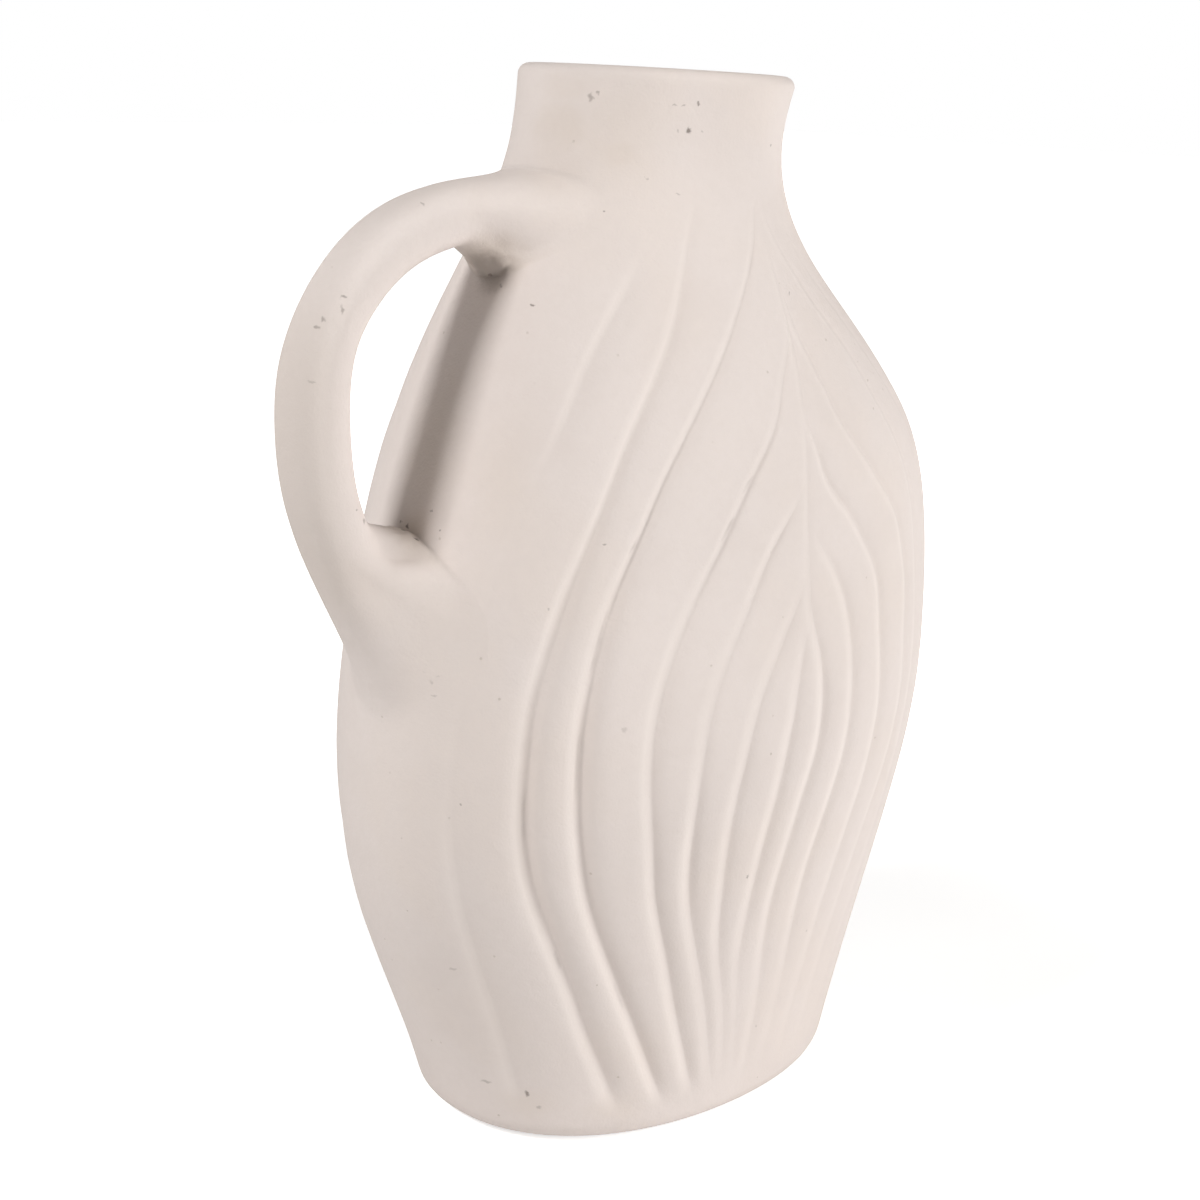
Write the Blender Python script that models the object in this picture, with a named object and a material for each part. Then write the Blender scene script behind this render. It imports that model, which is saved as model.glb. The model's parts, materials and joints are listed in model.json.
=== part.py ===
# A hand-built bisque vase, as the clay pieces that a potter joins: a slab foot, two pressed walls that meet
# at the narrow ends, a coiled neck and rim, and a strap handle luted on at its two ends. A leaf of curved
# ribs is carved into both broad walls.
# Metres, +Z up. The origin is the centre of the foot, the handle is on the -X side and the front faces -Y.

from collections import namedtuple
from math import copysign, cos, hypot, pi, radians, sin, sqrt, tan

import bmesh
import bpy
import numpy as np

# Clay sizes
CLEARANCE = 0.0003
WALL = 0.0065
BASE_THICKNESS = 0.008
FOOT_ROUND = 0.008
RIM_COIL_HEIGHT = 0.011
LIP_ROUND = 0.0030
RIM_TILT = radians(-1.55)
BASE_COIL_RADIUS = 0.004
SEAM_COIL_THICKNESS = 0.004
SEAM_COIL_WIDTH = 0.009
SEAM_COIL_TOP_GAP = 0.006

# The body's outline, level by level: the rise above the level below, the reach to the right (+X) and to
# the left (-X, the handle's side), and half the depth (Y). A smooth curve runs through the levels.
Level = namedtuple("Level", "rise right left depth")
LEVELS = {
    "foot": Level(rise=0.000, right=0.0713, left=0.0665, depth=0.0482),
    "ankle": Level(rise=0.036, right=0.0787, left=0.0799, depth=0.0543),
    "hip": Level(rise=0.042, right=0.0902, left=0.0946, depth=0.0617),
    "belly": Level(rise=0.048, right=0.0994, left=0.0946, depth=0.0690),
    "chest": Level(rise=0.042, right=0.1025, left=0.0883, depth=0.0642),
    "shoulder": Level(rise=0.036, right=0.0892, left=0.0776, depth=0.0596),
    "collar": Level(rise=0.030, right=0.0598, left=0.0662, depth=0.0493),
    "throat": Level(rise=0.024, right=0.0362, left=0.0544, depth=0.0396),
    "neck": Level(rise=0.021, right=0.0302, left=0.0456, depth=0.0359),
    "rim": Level(rise=0.021, right=0.0385, left=0.0403, depth=0.0375),
}
SQUARENESS = 2.1  # 2 is an ellipse in plan, and more is squarer

# The leaf's ribs from left to right. Heights are shares of the vase's height, and places are shares of
# the body's reach to that side at the same height. A rib leaves its start, swings out to its widest place
# and comes back in to the foot, and the eases say how late it swings.
Rib = namedtuple("Rib", "top start wide_height wide foot swing_out swing_in")
RIBS = (
    Rib(top=0.97, start=-0.20, wide_height=0.49, wide=-0.93, foot=-0.88, swing_out=0.60, swing_in=2.2),
    Rib(top=0.86, start=-0.40, wide_height=0.43, wide=-0.84, foot=-0.59, swing_out=1.00, swing_in=1.5),
    Rib(top=0.88, start=0.02, wide_height=0.45, wide=-0.71, foot=-0.31, swing_out=0.90, swing_in=0.8),
    Rib(top=0.81, start=0.05, wide_height=0.43, wide=-0.525, foot=-0.22, swing_out=1.60, swing_in=1.2),
    Rib(top=0.64, start=0.03, wide_height=0.37, wide=-0.38, foot=-0.09, swing_out=0.95, swing_in=1.0),
    Rib(top=0.56, start=0.03, wide_height=0.33, wide=-0.245, foot=-0.06, swing_out=0.85, swing_in=1.5),
    Rib(top=0.52, start=0.02, wide_height=0.25, wide=-0.125, foot=-0.03, swing_out=1.60, swing_in=2.0),
    Rib(top=0.50, start=0.03, wide_height=0.43, wide=0.05, foot=0.01, swing_out=1.20, swing_in=4.0),
    Rib(top=0.59, start=0.04, wide_height=0.49, wide=0.185, foot=0.12, swing_out=0.80, swing_in=2.2),
    Rib(top=0.77, start=0.05, wide_height=0.48, wide=0.34, foot=0.24, swing_out=1.80, swing_in=1.6),
    Rib(top=0.81, start=0.08, wide_height=0.56, wide=0.475, foot=0.37, swing_out=2.00, swing_in=1.8),
    Rib(top=0.89, start=0.09, wide_height=0.62, wide=0.575, foot=0.50, swing_out=1.00, swing_in=1.5),
    Rib(top=0.88, start=0.25, wide_height=0.50, wide=0.74, foot=0.66, swing_out=0.90, swing_in=1.5),
    Rib(top=0.97, start=0.20, wide_height=0.49, wide=0.90, foot=0.87, swing_out=0.60, swing_in=2.2),
)
RIB_LEAST_GAP = 0.006  # share of the reach that two ribs keep between them
FLUTE_DEPTH = 0.0016
FLUTE_FULL_WIDTH = 0.016  # a flute this wide or wider is cut to the full depth
FLUTE_DEEPEST = 0.3  # share of the way across a flute, from its outer side to the midrib's
CARVING_FOOT = 0.012  # the carving runs out this far above the slab
CARVING_FADE = 0.025  # and fades over this height below the neck

# The handle, a strap bent in the XZ plane
HANDLE_THICKNESS = 0.0165
HANDLE_WIDTH = 0.0234
HANDLE_TOP_HEIGHT = 0.2595
HANDLE_LOW_HEIGHT = 0.158
HANDLE_STANDOFF = 0.041  # centre-line to the body's side, at the grip
# its centre-line between the roots, in shares of the standoff and of the way up from root to root
Bend = namedtuple("Bend", "out_share up_share")
HANDLE_BENDS = (
    Bend(out_share=0.29, up_share=1.02),
    Bend(out_share=0.62, up_share=0.945),
    Bend(out_share=0.93, up_share=0.74),
    Bend(out_share=1.00, up_share=0.52),
    Bend(out_share=0.91, up_share=0.315),
    Bend(out_share=0.61, up_share=0.13),
    Bend(out_share=0.33, up_share=0.055),
)
GRIP_BEND = 3  # the bend that stands off the furthest
ROOT_DEPTH = 0.013  # how far the blanks of the handle and lutes run into the body before they are cut
# the clay smeared round a root: how far it climbs the strap, how far it spreads, and how much of the
# spread leans to the inside of the arch
Lute = namedtuple("Lute", "length flare lean_share")
UPPER_LUTE = Lute(length=0.013, flare=0.0058, lean_share=0.4)
LOWER_LUTE = Lute(length=0.019, flare=0.0060, lean_share=0.8)
LUTE_EDGE = 0.0008

# Mesh fineness
WALL_ROWS = 34
END_COLUMNS = 4
RING_SIDES = 48
CUTTER_SIDES = 96
COIL_SIDES = 8
STRAP_SIDES = 16
HANDLE_STEPS = 40

BISQUE = (0.73, 0.65, 0.60, 1.0)
FIRED_EDGE = (0.66, 0.57, 0.50, 1.0)


def natural_spline(knots, values):
    # A smooth curve through the values, with no bend at its two ends
    knots, values = np.array(knots, float), np.array(values, float)
    count = len(knots)
    gaps = np.diff(knots)
    slopes = np.diff(values) / gaps
    system = np.eye(count)
    turns = np.zeros(count)
    for i in range(1, count - 1):
        system[i, i - 1 : i + 2] = gaps[i - 1], 2 * (gaps[i - 1] + gaps[i]), gaps[i]
        turns[i] = 6 * (slopes[i] - slopes[i - 1])
    bends = np.linalg.solve(system, turns)

    def at(place):
        i = min(max(int(np.searchsorted(knots, place)) - 1, 0), count - 2)
        gap, after, before = gaps[i], place - knots[i], knots[i + 1] - place
        curved = (bends[i] * before**3 + bends[i + 1] * after**3) / (6 * gap)
        low = (values[i] / gap - bends[i] * gap / 6) * before
        high = (values[i + 1] / gap - bends[i + 1] * gap / 6) * after
        return curved + low + high

    return at


LEVEL_HEIGHTS = np.cumsum([level.rise for level in LEVELS.values()])
HEIGHT_OF = dict(zip(LEVELS, LEVEL_HEIGHTS))
RIM_HEIGHT = HEIGHT_OF["rim"]
NECK_JOINT = HEIGHT_OF["collar"]
RIM_JOINT = RIM_HEIGHT - RIM_COIL_HEIGHT
right_reach = natural_spline(LEVEL_HEIGHTS, [level.right for level in LEVELS.values()])
left_reach = natural_spline(LEVEL_HEIGHTS, [level.left for level in LEVELS.values()])
half_depth = natural_spline(LEVEL_HEIGHTS, [level.depth for level in LEVELS.values()])


def rounded(value):
    # The superellipse's power of a sine or a cosine, with its sign
    return copysign(abs(value) ** (2 / SQUARENESS), value)


def outline(angle, height, inset=0.0):
    # A point of the body's surface, moved in by the inset. Angle 0 is +X and -90 degrees is the front.
    right, left = right_reach(height), left_reach(height)
    x = ((right + left) / 2 - inset) * rounded(cos(angle)) + (right - left) / 2 * cos(angle) ** 2
    y = (half_depth(height) - inset) * rounded(sin(angle))
    tilted_share = min(max((height - NECK_JOINT) / (RIM_HEIGHT - NECK_JOINT), 0), 1)
    return x, y, height + tilted_share * x * tan(RIM_TILT)


def angle_of_share(share, height):
    # The front's angle at this share of the reach to its side
    target = share * (right_reach(height) if share > 0 else left_reach(height))
    low, high = -pi, 0.0
    for _ in range(30):
        middle = (low + high) / 2
        if outline(middle, height)[0] < target:
            low = middle
        else:
            high = middle
    return (low + high) / 2


def rib_share(rib, height):
    up = min(max(height / RIM_HEIGHT, 0), 1)
    if up >= rib.top:
        return rib.start
    if up > rib.wide_height:
        swing = sin(pi / 2 * (rib.top - up) / (rib.top - rib.wide_height)) ** rib.swing_out
        return rib.start + (rib.wide - rib.start) * swing
    swing = max(cos(pi / 2 * (1 - up / rib.wide_height)), 0) ** rib.swing_in
    return rib.foot + (rib.wide - rib.foot) * swing


def rib_shares(height):
    # Every rib's place at this height, in order and never closer than the least gap
    shares = [rib_share(rib, height) for rib in RIBS]
    midrib = len(RIBS) // 2
    for i in range(midrib - 1, -1, -1):
        shares[i] = min(shares[i], shares[i + 1] - RIB_LEAST_GAP)
    for i in range(midrib + 1, len(RIBS)):
        shares[i] = max(shares[i], shares[i - 1] + RIB_LEAST_GAP)
    return shares


def smooth_step(value, low, high):
    share = min(max((value - low) / (high - low), 0), 1)
    return share * share * (3 - 2 * share)


def carving_strength(height):
    above_foot = smooth_step(height, BASE_THICKNESS, BASE_THICKNESS + CARVING_FOOT)
    return above_foot * (1 - smooth_step(height, NECK_JOINT - CARVING_FADE, NECK_JOINT))


def wall_columns(height):
    # (angle, carved depth) of each column of the front wall, from its left end to its right end
    shares = rib_shares(height)
    angles = [angle_of_share(share, height) for share in shares]
    columns = [(-pi + (angles[0] + pi) * i / END_COLUMNS, 0.0) for i in range(END_COLUMNS)]
    for i in range(len(angles) - 1):
        toward_midrib = FLUTE_DEEPEST if i < len(RIBS) // 2 else 1 - FLUTE_DEEPEST
        deepest = angles[i] + (angles[i + 1] - angles[i]) * toward_midrib
        start, end = outline(angles[i], height), outline(angles[i + 1], height)
        width = hypot(end[0] - start[0], end[1] - start[1])
        depth = FLUTE_DEPTH * min(width / FLUTE_FULL_WIDTH, 1) * carving_strength(height)
        columns += [(angles[i], 0.0), (deepest, depth)]
    return columns + [(angles[-1] * (1 - i / END_COLUMNS), 0.0) for i in range(END_COLUMNS + 1)]


def foot_inset(height):
    # How far the rounded foot edge draws in
    drop = max(FOOT_ROUND - height, 0)
    return FOOT_ROUND - sqrt(max(FOOT_ROUND**2 - drop**2, 0))


def clay(name, colour, roughness):
    material = bpy.data.materials.new(name)
    material.use_nodes = True
    shader = material.node_tree.nodes["Principled BSDF"]
    shader.inputs["Base Color"].default_value = colour
    shader.inputs["Roughness"].default_value = roughness
    shader.inputs["Metallic"].default_value = 0.0
    material.diffuse_color = colour
    return material


def add_object(name, mesh, colour=BISQUE, roughness=0.9, cutter=False):
    bmesh.ops.recalc_face_normals(mesh, faces=mesh.faces[:])
    data = bpy.data.meshes.new(name)
    mesh.to_mesh(data)
    mesh.free()
    data.shade_smooth()
    data.set_sharp_from_angle(angle=radians(40))
    made = bpy.data.objects.new(name, data)
    bpy.context.scene.collection.objects.link(made)
    if cutter:
        made.hide_render = True
        made.display_type = "WIRE"
    else:
        data.materials.append(clay(name, colour, roughness))
    return made


def cut(target, cutter):
    modifier = target.modifiers.new("Cut by " + cutter.name, "BOOLEAN")
    modifier.operation = "DIFFERENCE"
    modifier.solver = "EXACT"
    modifier.object = cutter


def join_rings(mesh, rings, closed):
    # Faces between neighbouring rings. A closed run also joins the last ring to the first.
    made = [[mesh.verts.new(point) for point in ring] for ring in rings]
    pairs = list(zip(made, made[1:])) + ([(made[-1], made[0])] if closed else [])
    for lower, upper in pairs:
        for i in range(len(lower)):
            after = (i + 1) % len(lower)
            mesh.faces.new((lower[i], lower[after], upper[after], upper[i]))
    if not closed:
        mesh.faces.new(made[0])
        mesh.faces.new(made[-1])


def body_ring(height, inset, sides=RING_SIDES):
    return [outline(2 * pi * i / sides, height, inset) for i in range(sides)]


def heights_between(low, high, steps):
    return [low + (high - low) * i / steps for i in range(steps + 1)]


def half_wall(name, side, hollow):
    # One pressed half of the body, from the slab to the neck. Side -1 is the front and +1 the back.
    mesh = bmesh.new()
    low, high = BASE_THICKNESS + CLEARANCE / 2, NECK_JOINT - CLEARANCE / 2
    rows = []
    for height in heights_between(low, high, WALL_ROWS):
        row = []
        for angle, depth in wall_columns(height):
            x, y, z = outline(angle, height, depth)
            row.append(mesh.verts.new((x, side * max(-y, CLEARANCE / 2), z)))
        rows.append(row)
    for lower, upper in zip(rows, rows[1:]):
        for i in range(len(lower) - 1):
            mesh.faces.new((lower[i], lower[i + 1], upper[i + 1], upper[i]))
    mesh.faces.new(rows[0])
    mesh.faces.new(rows[-1])
    mesh.faces.new([row[0] for row in rows] + [row[-1] for row in reversed(rows)])
    cut(add_object(name, mesh), hollow)


def body_form(name, heights, inset, sides):
    # A solid of the body's shape, to cut with
    mesh = bmesh.new()
    join_rings(mesh, [body_ring(height, inset, sides) for height in heights], closed=False)
    return add_object(name, mesh, cutter=True)


def band(name, profile, colour=BISQUE):
    # A ring of clay round the vase, from (height, inset) points round its section
    mesh = bmesh.new()
    join_rings(mesh, [body_ring(height, inset) for height, inset in profile], closed=True)
    return add_object(name, mesh, colour)


def base_slab():
    arc = [FOOT_ROUND * (1 - cos(pi / 2 * i / 5)) for i in range(6)]
    heights = [min(height, BASE_THICKNESS) for height in arc[:-1]] + [BASE_THICKNESS - CLEARANCE / 2]
    mesh = bmesh.new()
    join_rings(mesh, [body_ring(height, foot_inset(height)) for height in heights], closed=False)
    add_object("base_slab", mesh, FIRED_EDGE)


def base_coil():
    height = BASE_THICKNESS + CLEARANCE + BASE_COIL_RADIUS
    inset = WALL + CLEARANCE + BASE_COIL_RADIUS
    turns = [2 * pi * i / COIL_SIDES for i in range(COIL_SIDES)]
    profile = [(height + BASE_COIL_RADIUS * sin(t), inset + BASE_COIL_RADIUS * cos(t)) for t in turns]
    band("base_coil", profile)


def neck_collar():
    heights = heights_between(NECK_JOINT + CLEARANCE / 2, RIM_JOINT - CLEARANCE / 2, 9)
    outer = [(height, 0.0) for height in heights]
    inner = [(height, WALL) for height in reversed(heights)]
    band("neck_collar", outer + inner)


def rim_coil():
    low, high = RIM_JOINT + CLEARANCE / 2, RIM_HEIGHT - LIP_ROUND
    outer = [(height, 0.0) for height in heights_between(low, high, 2)]
    turns = [pi / 2 * i / 4 for i in range(1, 5)]
    over = [(high + LIP_ROUND * sin(t), LIP_ROUND * (1 - cos(t))) for t in turns]
    back = [(height, WALL - inset) for height, inset in reversed(over)]
    inner = [(height, WALL) for height, _ in reversed(outer)]
    band("rim_coil", outer + over + back + inner)


def strap_ring(place, direction, half_thickness, half_width, sides=STRAP_SIDES):
    # An oval section across a line in the XZ plane
    ring = []
    for i in range(sides):
        turn = 2 * pi * i / sides
        across = half_thickness * rounded(cos(turn))
        x = place[0] - direction[1] * across
        z = place[1] + direction[0] * across
        ring.append((x, half_width * rounded(sin(turn)), z))
    return ring


def directions_along(line):
    steps = []
    for i in range(len(line)):
        before, after = line[max(i - 1, 0)], line[min(i + 1, len(line) - 1)]
        length = hypot(after[0] - before[0], after[1] - before[1])
        steps.append(((after[0] - before[0]) / length, (after[1] - before[1]) / length))
    return steps


def seam_coil(name, side):
    # A strip of clay pressed over the inside of the seam between the walls. Side 1 is +X, -1 is -X.
    angle = 0.0 if side > 0 else pi
    low = BASE_THICKNESS + 2 * BASE_COIL_RADIUS + 2 * CLEARANCE
    wall_line = []
    for height in heights_between(low, NECK_JOINT - SEAM_COIL_TOP_GAP, 24):
        x, _, z = outline(angle, height, WALL)
        wall_line.append((x, z))
    offset = side * (SEAM_COIL_THICKNESS / 2 + CLEARANCE)
    directions = directions_along(wall_line)
    line = [(x - d[1] * offset, z + d[0] * offset) for (x, z), d in zip(wall_line, directions)]
    mesh = bmesh.new()
    rings = []
    for place, direction in zip(line, directions):
        ring = strap_ring(place, direction, SEAM_COIL_THICKNESS / 2, SEAM_COIL_WIDTH / 2, COIL_SIDES)
        rings.append(ring)
    join_rings(mesh, rings, closed=False)
    add_object(name, mesh)


def handle_line():
    # The strap's centre-line from its upper root to its lower one, both of them inside the body
    span = HANDLE_TOP_HEIGHT - HANDLE_LOW_HEIGHT
    grip_height = HANDLE_LOW_HEIGHT + HANDLE_BENDS[GRIP_BEND].up_share * span
    reach = left_reach(grip_height) + HANDLE_STANDOFF
    top_side, low_side = left_reach(HANDLE_TOP_HEIGHT), left_reach(HANDLE_LOW_HEIGHT)
    points = [(-(top_side - ROOT_DEPTH), HANDLE_TOP_HEIGHT)]
    for bend in HANDLE_BENDS:
        side = low_side + (top_side - low_side) * bend.up_share
        out = side + (reach - side) * bend.out_share
        points.append((-out, HANDLE_LOW_HEIGHT + span * bend.up_share))
    points.append((-(low_side - ROOT_DEPTH), HANDLE_LOW_HEIGHT - ROOT_DEPTH * 0.8))
    knots = np.cumsum([0.0] + [hypot(b[0] - a[0], b[1] - a[1]) for a, b in zip(points, points[1:])])
    along_x = natural_spline(knots, [x for x, _ in points])
    along_z = natural_spline(knots, [z for _, z in points])
    return [(along_x(t), along_z(t)) for t in np.linspace(0, knots[-1], HANDLE_STEPS + 1)]


def handle(line, body_cutter):
    rings = []
    for place, direction in zip(line, directions_along(line)):
        rings.append(strap_ring(place, direction, HANDLE_THICKNESS / 2, HANDLE_WIDTH / 2))
    mesh = bmesh.new()
    join_rings(mesh, rings, closed=False)
    cut(add_object("handle", mesh), body_cutter)


def lute(name, line, shape, arch_side, body_cutter):
    # Clay smeared round one root of the handle, thick at the body and thin where it runs out. The arch
    # side is 1 where the inside of the arch is to the left of the line, and -1 where it is to the right.
    directions = directions_along(line)
    half_thickness = HANDLE_THICKNESS / 2 + CLEARANCE
    half_width = HANDLE_WIDTH / 2 + CLEARANCE
    walked = 0.0
    inner, outer = [], []
    for i, (place, direction) in enumerate(zip(line, directions)):
        if i:
            walked += hypot(place[0] - line[i - 1][0], place[1] - line[i - 1][1])
        left = max(1 - max(walked - ROOT_DEPTH, 0) / shape.length, 0)
        spread = shape.flare * left**2
        lean = arch_side * shape.lean_share * spread
        centre = (place[0] - direction[1] * lean, place[1] + direction[0] * lean)
        spare = LUTE_EDGE + spread
        inner.append(strap_ring(place, direction, half_thickness, half_width))
        outer.append(strap_ring(centre, direction, half_thickness + spare, half_width + spare))
        if left == 0:
            break
    mesh = bmesh.new()
    join_rings(mesh, outer + inner[::-1], closed=True)
    cut(add_object(name, mesh), body_cutter)


def main():
    for old in list(bpy.data.objects):
        bpy.data.objects.remove(old, do_unlink=True)
    past_joints = WALL / 2
    inside = heights_between(BASE_THICKNESS - past_joints, NECK_JOINT + past_joints, 22)
    hollow = body_form("hollow_cutter", inside, WALL, RING_SIDES)
    outside = heights_between(HEIGHT_OF["hip"], RIM_HEIGHT + HANDLE_THICKNESS, 40)
    body_cutter = body_form("body_cutter", outside, -CLEARANCE, CUTTER_SIDES)
    base_slab()
    base_coil()
    half_wall("front_wall", -1, hollow)
    half_wall("back_wall", 1, hollow)
    seam_coil("seam_coil_left", -1)
    seam_coil("seam_coil_right", 1)
    neck_collar()
    rim_coil()
    line = handle_line()
    handle(line, body_cutter)
    lute("handle_upper_lute", line, UPPER_LUTE, 1, body_cutter)
    lute("handle_lower_lute", line[::-1], LOWER_LUTE, -1, body_cutter)


main()
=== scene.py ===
import json
from math import cos, pi, radians, sin

import bmesh
import bpy
import numpy as np
from mathutils import Matrix, Vector, noise
from mathutils.bvhtree import BVHTree

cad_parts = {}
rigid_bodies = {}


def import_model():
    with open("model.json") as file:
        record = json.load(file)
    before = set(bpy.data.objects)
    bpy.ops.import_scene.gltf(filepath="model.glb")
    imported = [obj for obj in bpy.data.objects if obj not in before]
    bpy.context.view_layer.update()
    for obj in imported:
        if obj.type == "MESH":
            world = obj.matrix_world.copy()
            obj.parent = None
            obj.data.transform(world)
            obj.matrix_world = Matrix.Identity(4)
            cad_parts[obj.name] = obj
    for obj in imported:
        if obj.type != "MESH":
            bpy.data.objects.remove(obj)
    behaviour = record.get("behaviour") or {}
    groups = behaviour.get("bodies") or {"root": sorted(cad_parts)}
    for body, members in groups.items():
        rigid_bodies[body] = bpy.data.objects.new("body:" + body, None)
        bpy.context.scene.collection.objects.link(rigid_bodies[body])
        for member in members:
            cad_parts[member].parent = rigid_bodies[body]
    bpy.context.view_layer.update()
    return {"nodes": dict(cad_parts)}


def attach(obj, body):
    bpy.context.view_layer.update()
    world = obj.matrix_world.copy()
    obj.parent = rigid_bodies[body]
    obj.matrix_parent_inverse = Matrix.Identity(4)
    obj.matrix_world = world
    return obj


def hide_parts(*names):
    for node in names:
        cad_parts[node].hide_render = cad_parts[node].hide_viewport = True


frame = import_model()
bpy.context.view_layer.update()
print("frame loaded:", len(frame["nodes"]), "clay pieces")

mm = 0.001  # the sizes below are in mm, the scene is in metres
mergeWithin = 0.000001  # corners this near, in metres, are one corner
seedShift = (7.31, 3.17, 5.53)  # how far a seed moves the noise
wobbleShift = (5.7, 2.3)  # the same for a wobble, which has its height as the first direction


# Shared helpers
def deselectAll():
    if bpy.context.object and bpy.context.object.mode != "OBJECT":
        bpy.ops.object.mode_set(mode="OBJECT")
    bpy.ops.object.select_all(action="DESELECT")


def smoothCurve(places, values):
    # natural cubic curve through the values, which can be read at any list of places
    places, values = np.array(places, float), np.array(values, float)
    count = len(places)
    gaps = np.diff(places)
    slopes = np.diff(values) / gaps
    system, turns = np.eye(count), np.zeros(count)
    for i in range(1, count - 1):
        system[i, i - 1 : i + 2] = gaps[i - 1], 2 * (gaps[i - 1] + gaps[i]), gaps[i]
        turns[i] = 6 * (slopes[i] - slopes[i - 1])
    bends = np.linalg.solve(system, turns)

    def at(place):
        place = np.asarray(place, float)
        i = np.clip(np.searchsorted(places, place) - 1, 0, count - 2)
        gap, after, before = gaps[i], place - places[i], places[i + 1] - place
        curved = (bends[i] * before**3 + bends[i + 1] * after**3) / (6 * gap)
        low = (values[i] / gap - bends[i] * gap / 6) * before
        return curved + low + (values[i + 1] / gap - bends[i + 1] * gap / 6) * after

    return at


def smoothStep(value, start, end):
    share = np.clip((np.asarray(value, float) - start) / (end - start), 0, 1)
    return share * share * (3 - 2 * share)


def lumps(points, size, seed):
    # soft lumps between -1 and 1, about this many mm across, at points given in mm
    shift = Vector([seed * step for step in seedShift])
    flat = np.asarray(points, float).reshape(-1, 3) / size
    values = [noise.noise(Vector(p) + shift) for p in flat]
    return np.array(values).reshape(np.shape(points)[:-1])


def wobble(heights, size, seed):
    # hand wobble between -1 and 1 along a height in mm
    aside = [seed * step for step in wobbleShift]
    return np.array([noise.noise(Vector((h / size, *aside))) for h in heights])


def wrapSheet(name, places, paints):
    # a flat sheet of clay laid over the places (rows x columns x 3, in mm) and closed round, with the
    # paints (rows x columns) as attributes
    rows, columns = places.shape[:2]
    deselectAll()
    bpy.ops.mesh.primitive_grid_add(x_subdivisions=columns - 1, y_subdivisions=rows - 1, size=1)
    sheet = bpy.context.object
    sheet.name = name
    sheet.data.name = name
    sheet.data.vertices.foreach_set("co", (places * mm).reshape(-1))
    for label, values in paints.items():
        layer = sheet.data.attributes.new(label, "FLOAT", "POINT")
        layer.data.foreach_set("value", np.ascontiguousarray(values, dtype=np.float32).reshape(-1))
    sheet.data.update()
    bpy.ops.object.mode_set(mode="EDIT")
    bpy.ops.mesh.select_all(action="SELECT")
    bpy.ops.mesh.remove_doubles(threshold=mergeWithin)
    bpy.ops.mesh.fill_holes(sides=0)
    bpy.ops.mesh.normals_make_consistent(inside=False)
    solid = bmesh.from_edit_mesh(sheet.data)
    if solid.calc_volume(signed=True) < 0:
        bpy.ops.mesh.flip_normals()
    bpy.ops.object.mode_set(mode="OBJECT")
    bpy.ops.object.shade_smooth()
    return sheet


# Body: a hollow shell whose outline is drawn at ten heights, in mm
body = {
    "heights": (0, 36, 78, 126, 168, 204, 234, 258, 279, 300),
    "right": (71.3, 78.7, 90.2, 99.4, 102.5, 89.2, 59.8, 36.2, 30.2, 38.5),
    "left": (66.5, 79.9, 94.6, 94.6, 88.3, 77.6, 66.2, 54.4, 45.0, 39.7),
    "depth": (48.2, 54.3, 61.7, 69.0, 64.2, 59.6, 49.3, 39.6, 35.9, 37.5),  # half of it
    "rimHeight": 299.5,
    "squareness": 2.1,  # 2 is an ellipse in plan, and more is squarer
    "wall": 6.5,
    "floor": 8.0,
    "cornerRound": 6.0,  # inside, between the floor and the wall
    "cornerTurns": (22, 45, 68, 90),
    "footRound": 8.0,
    "footTurns": 10,
    "footSharper": 0.4,  # how much less the foot is rounded on the side away from the handle
    "sharperSide": (0.2, 0.9),  # cosines of the angle at which that side begins and is reached
    "lipRound": 3.0,
    "lipTurns": 11,
    "rimTilt": -0.027,  # mm up for each mm to the right
    "tiltFrom": 234,
    "rimLift": 0.02,  # the back of the lip stands higher, in mm for each mm
    "liftAcross": (-25, 15),  # mm to the right between which the lift comes in
    "liftUp": (285, 298),  # and heights
    "rowStep": 1.7,
    "insideRows": 30,
    "soleRings": (0, 0.4, 0.75),  # shares of the foot's outline
    "floorRings": (0.7, 0.35, 0),
    "lumps": (42, 0.28, 3),  # size and height in mm of the uneven wall, and its seed
    "smallLumps": (13, 0.06, 9),
    "lumpSink": 0.5,
    "lumpsFrom": (0, 12),  # heights between which the lumps come in
}
rightReach = smoothCurve(body["heights"], body["right"])
leftReach = smoothCurve(body["heights"], body["left"])
halfDepth = smoothCurve(body["heights"], body["depth"])
rimHeight = body["rimHeight"]


def signedPower(value):
    return np.sign(value) * np.abs(value) ** (2 / body["squareness"])


def bodyPlace(angle, height, inset=0.0):
    # point of the body in mm: angle 0 is +X, -90 degrees is the front
    right, left = rightReach(height), leftReach(height)
    x = ((right + left) / 2 - inset) * signedPower(np.cos(angle)) + (right - left) / 2 * np.cos(angle) ** 2
    y = (halfDepth(height) - inset) * signedPower(np.sin(angle))
    tilt = np.clip((height - body["tiltFrom"]) / (rimHeight - body["tiltFrom"]), 0, 1)
    return np.stack([x, y, height + tilt * x * body["rimTilt"]], axis=-1)


def angleOfShare(share, height):
    # front angle at a share of the reach to its side, found by halving
    target = share * np.where(share > 0, rightReach(height), leftReach(height))
    low, high = np.full(target.shape, -pi), np.zeros(target.shape)
    halvings = 32
    for _ in range(halvings):
        middle = (low + high) / 2
        isLow = bodyPlace(middle, height)[..., 0] < target
        low, high = np.where(isLow, middle, low), np.where(isLow, high, middle)
    return (low + high) / 2


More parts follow.
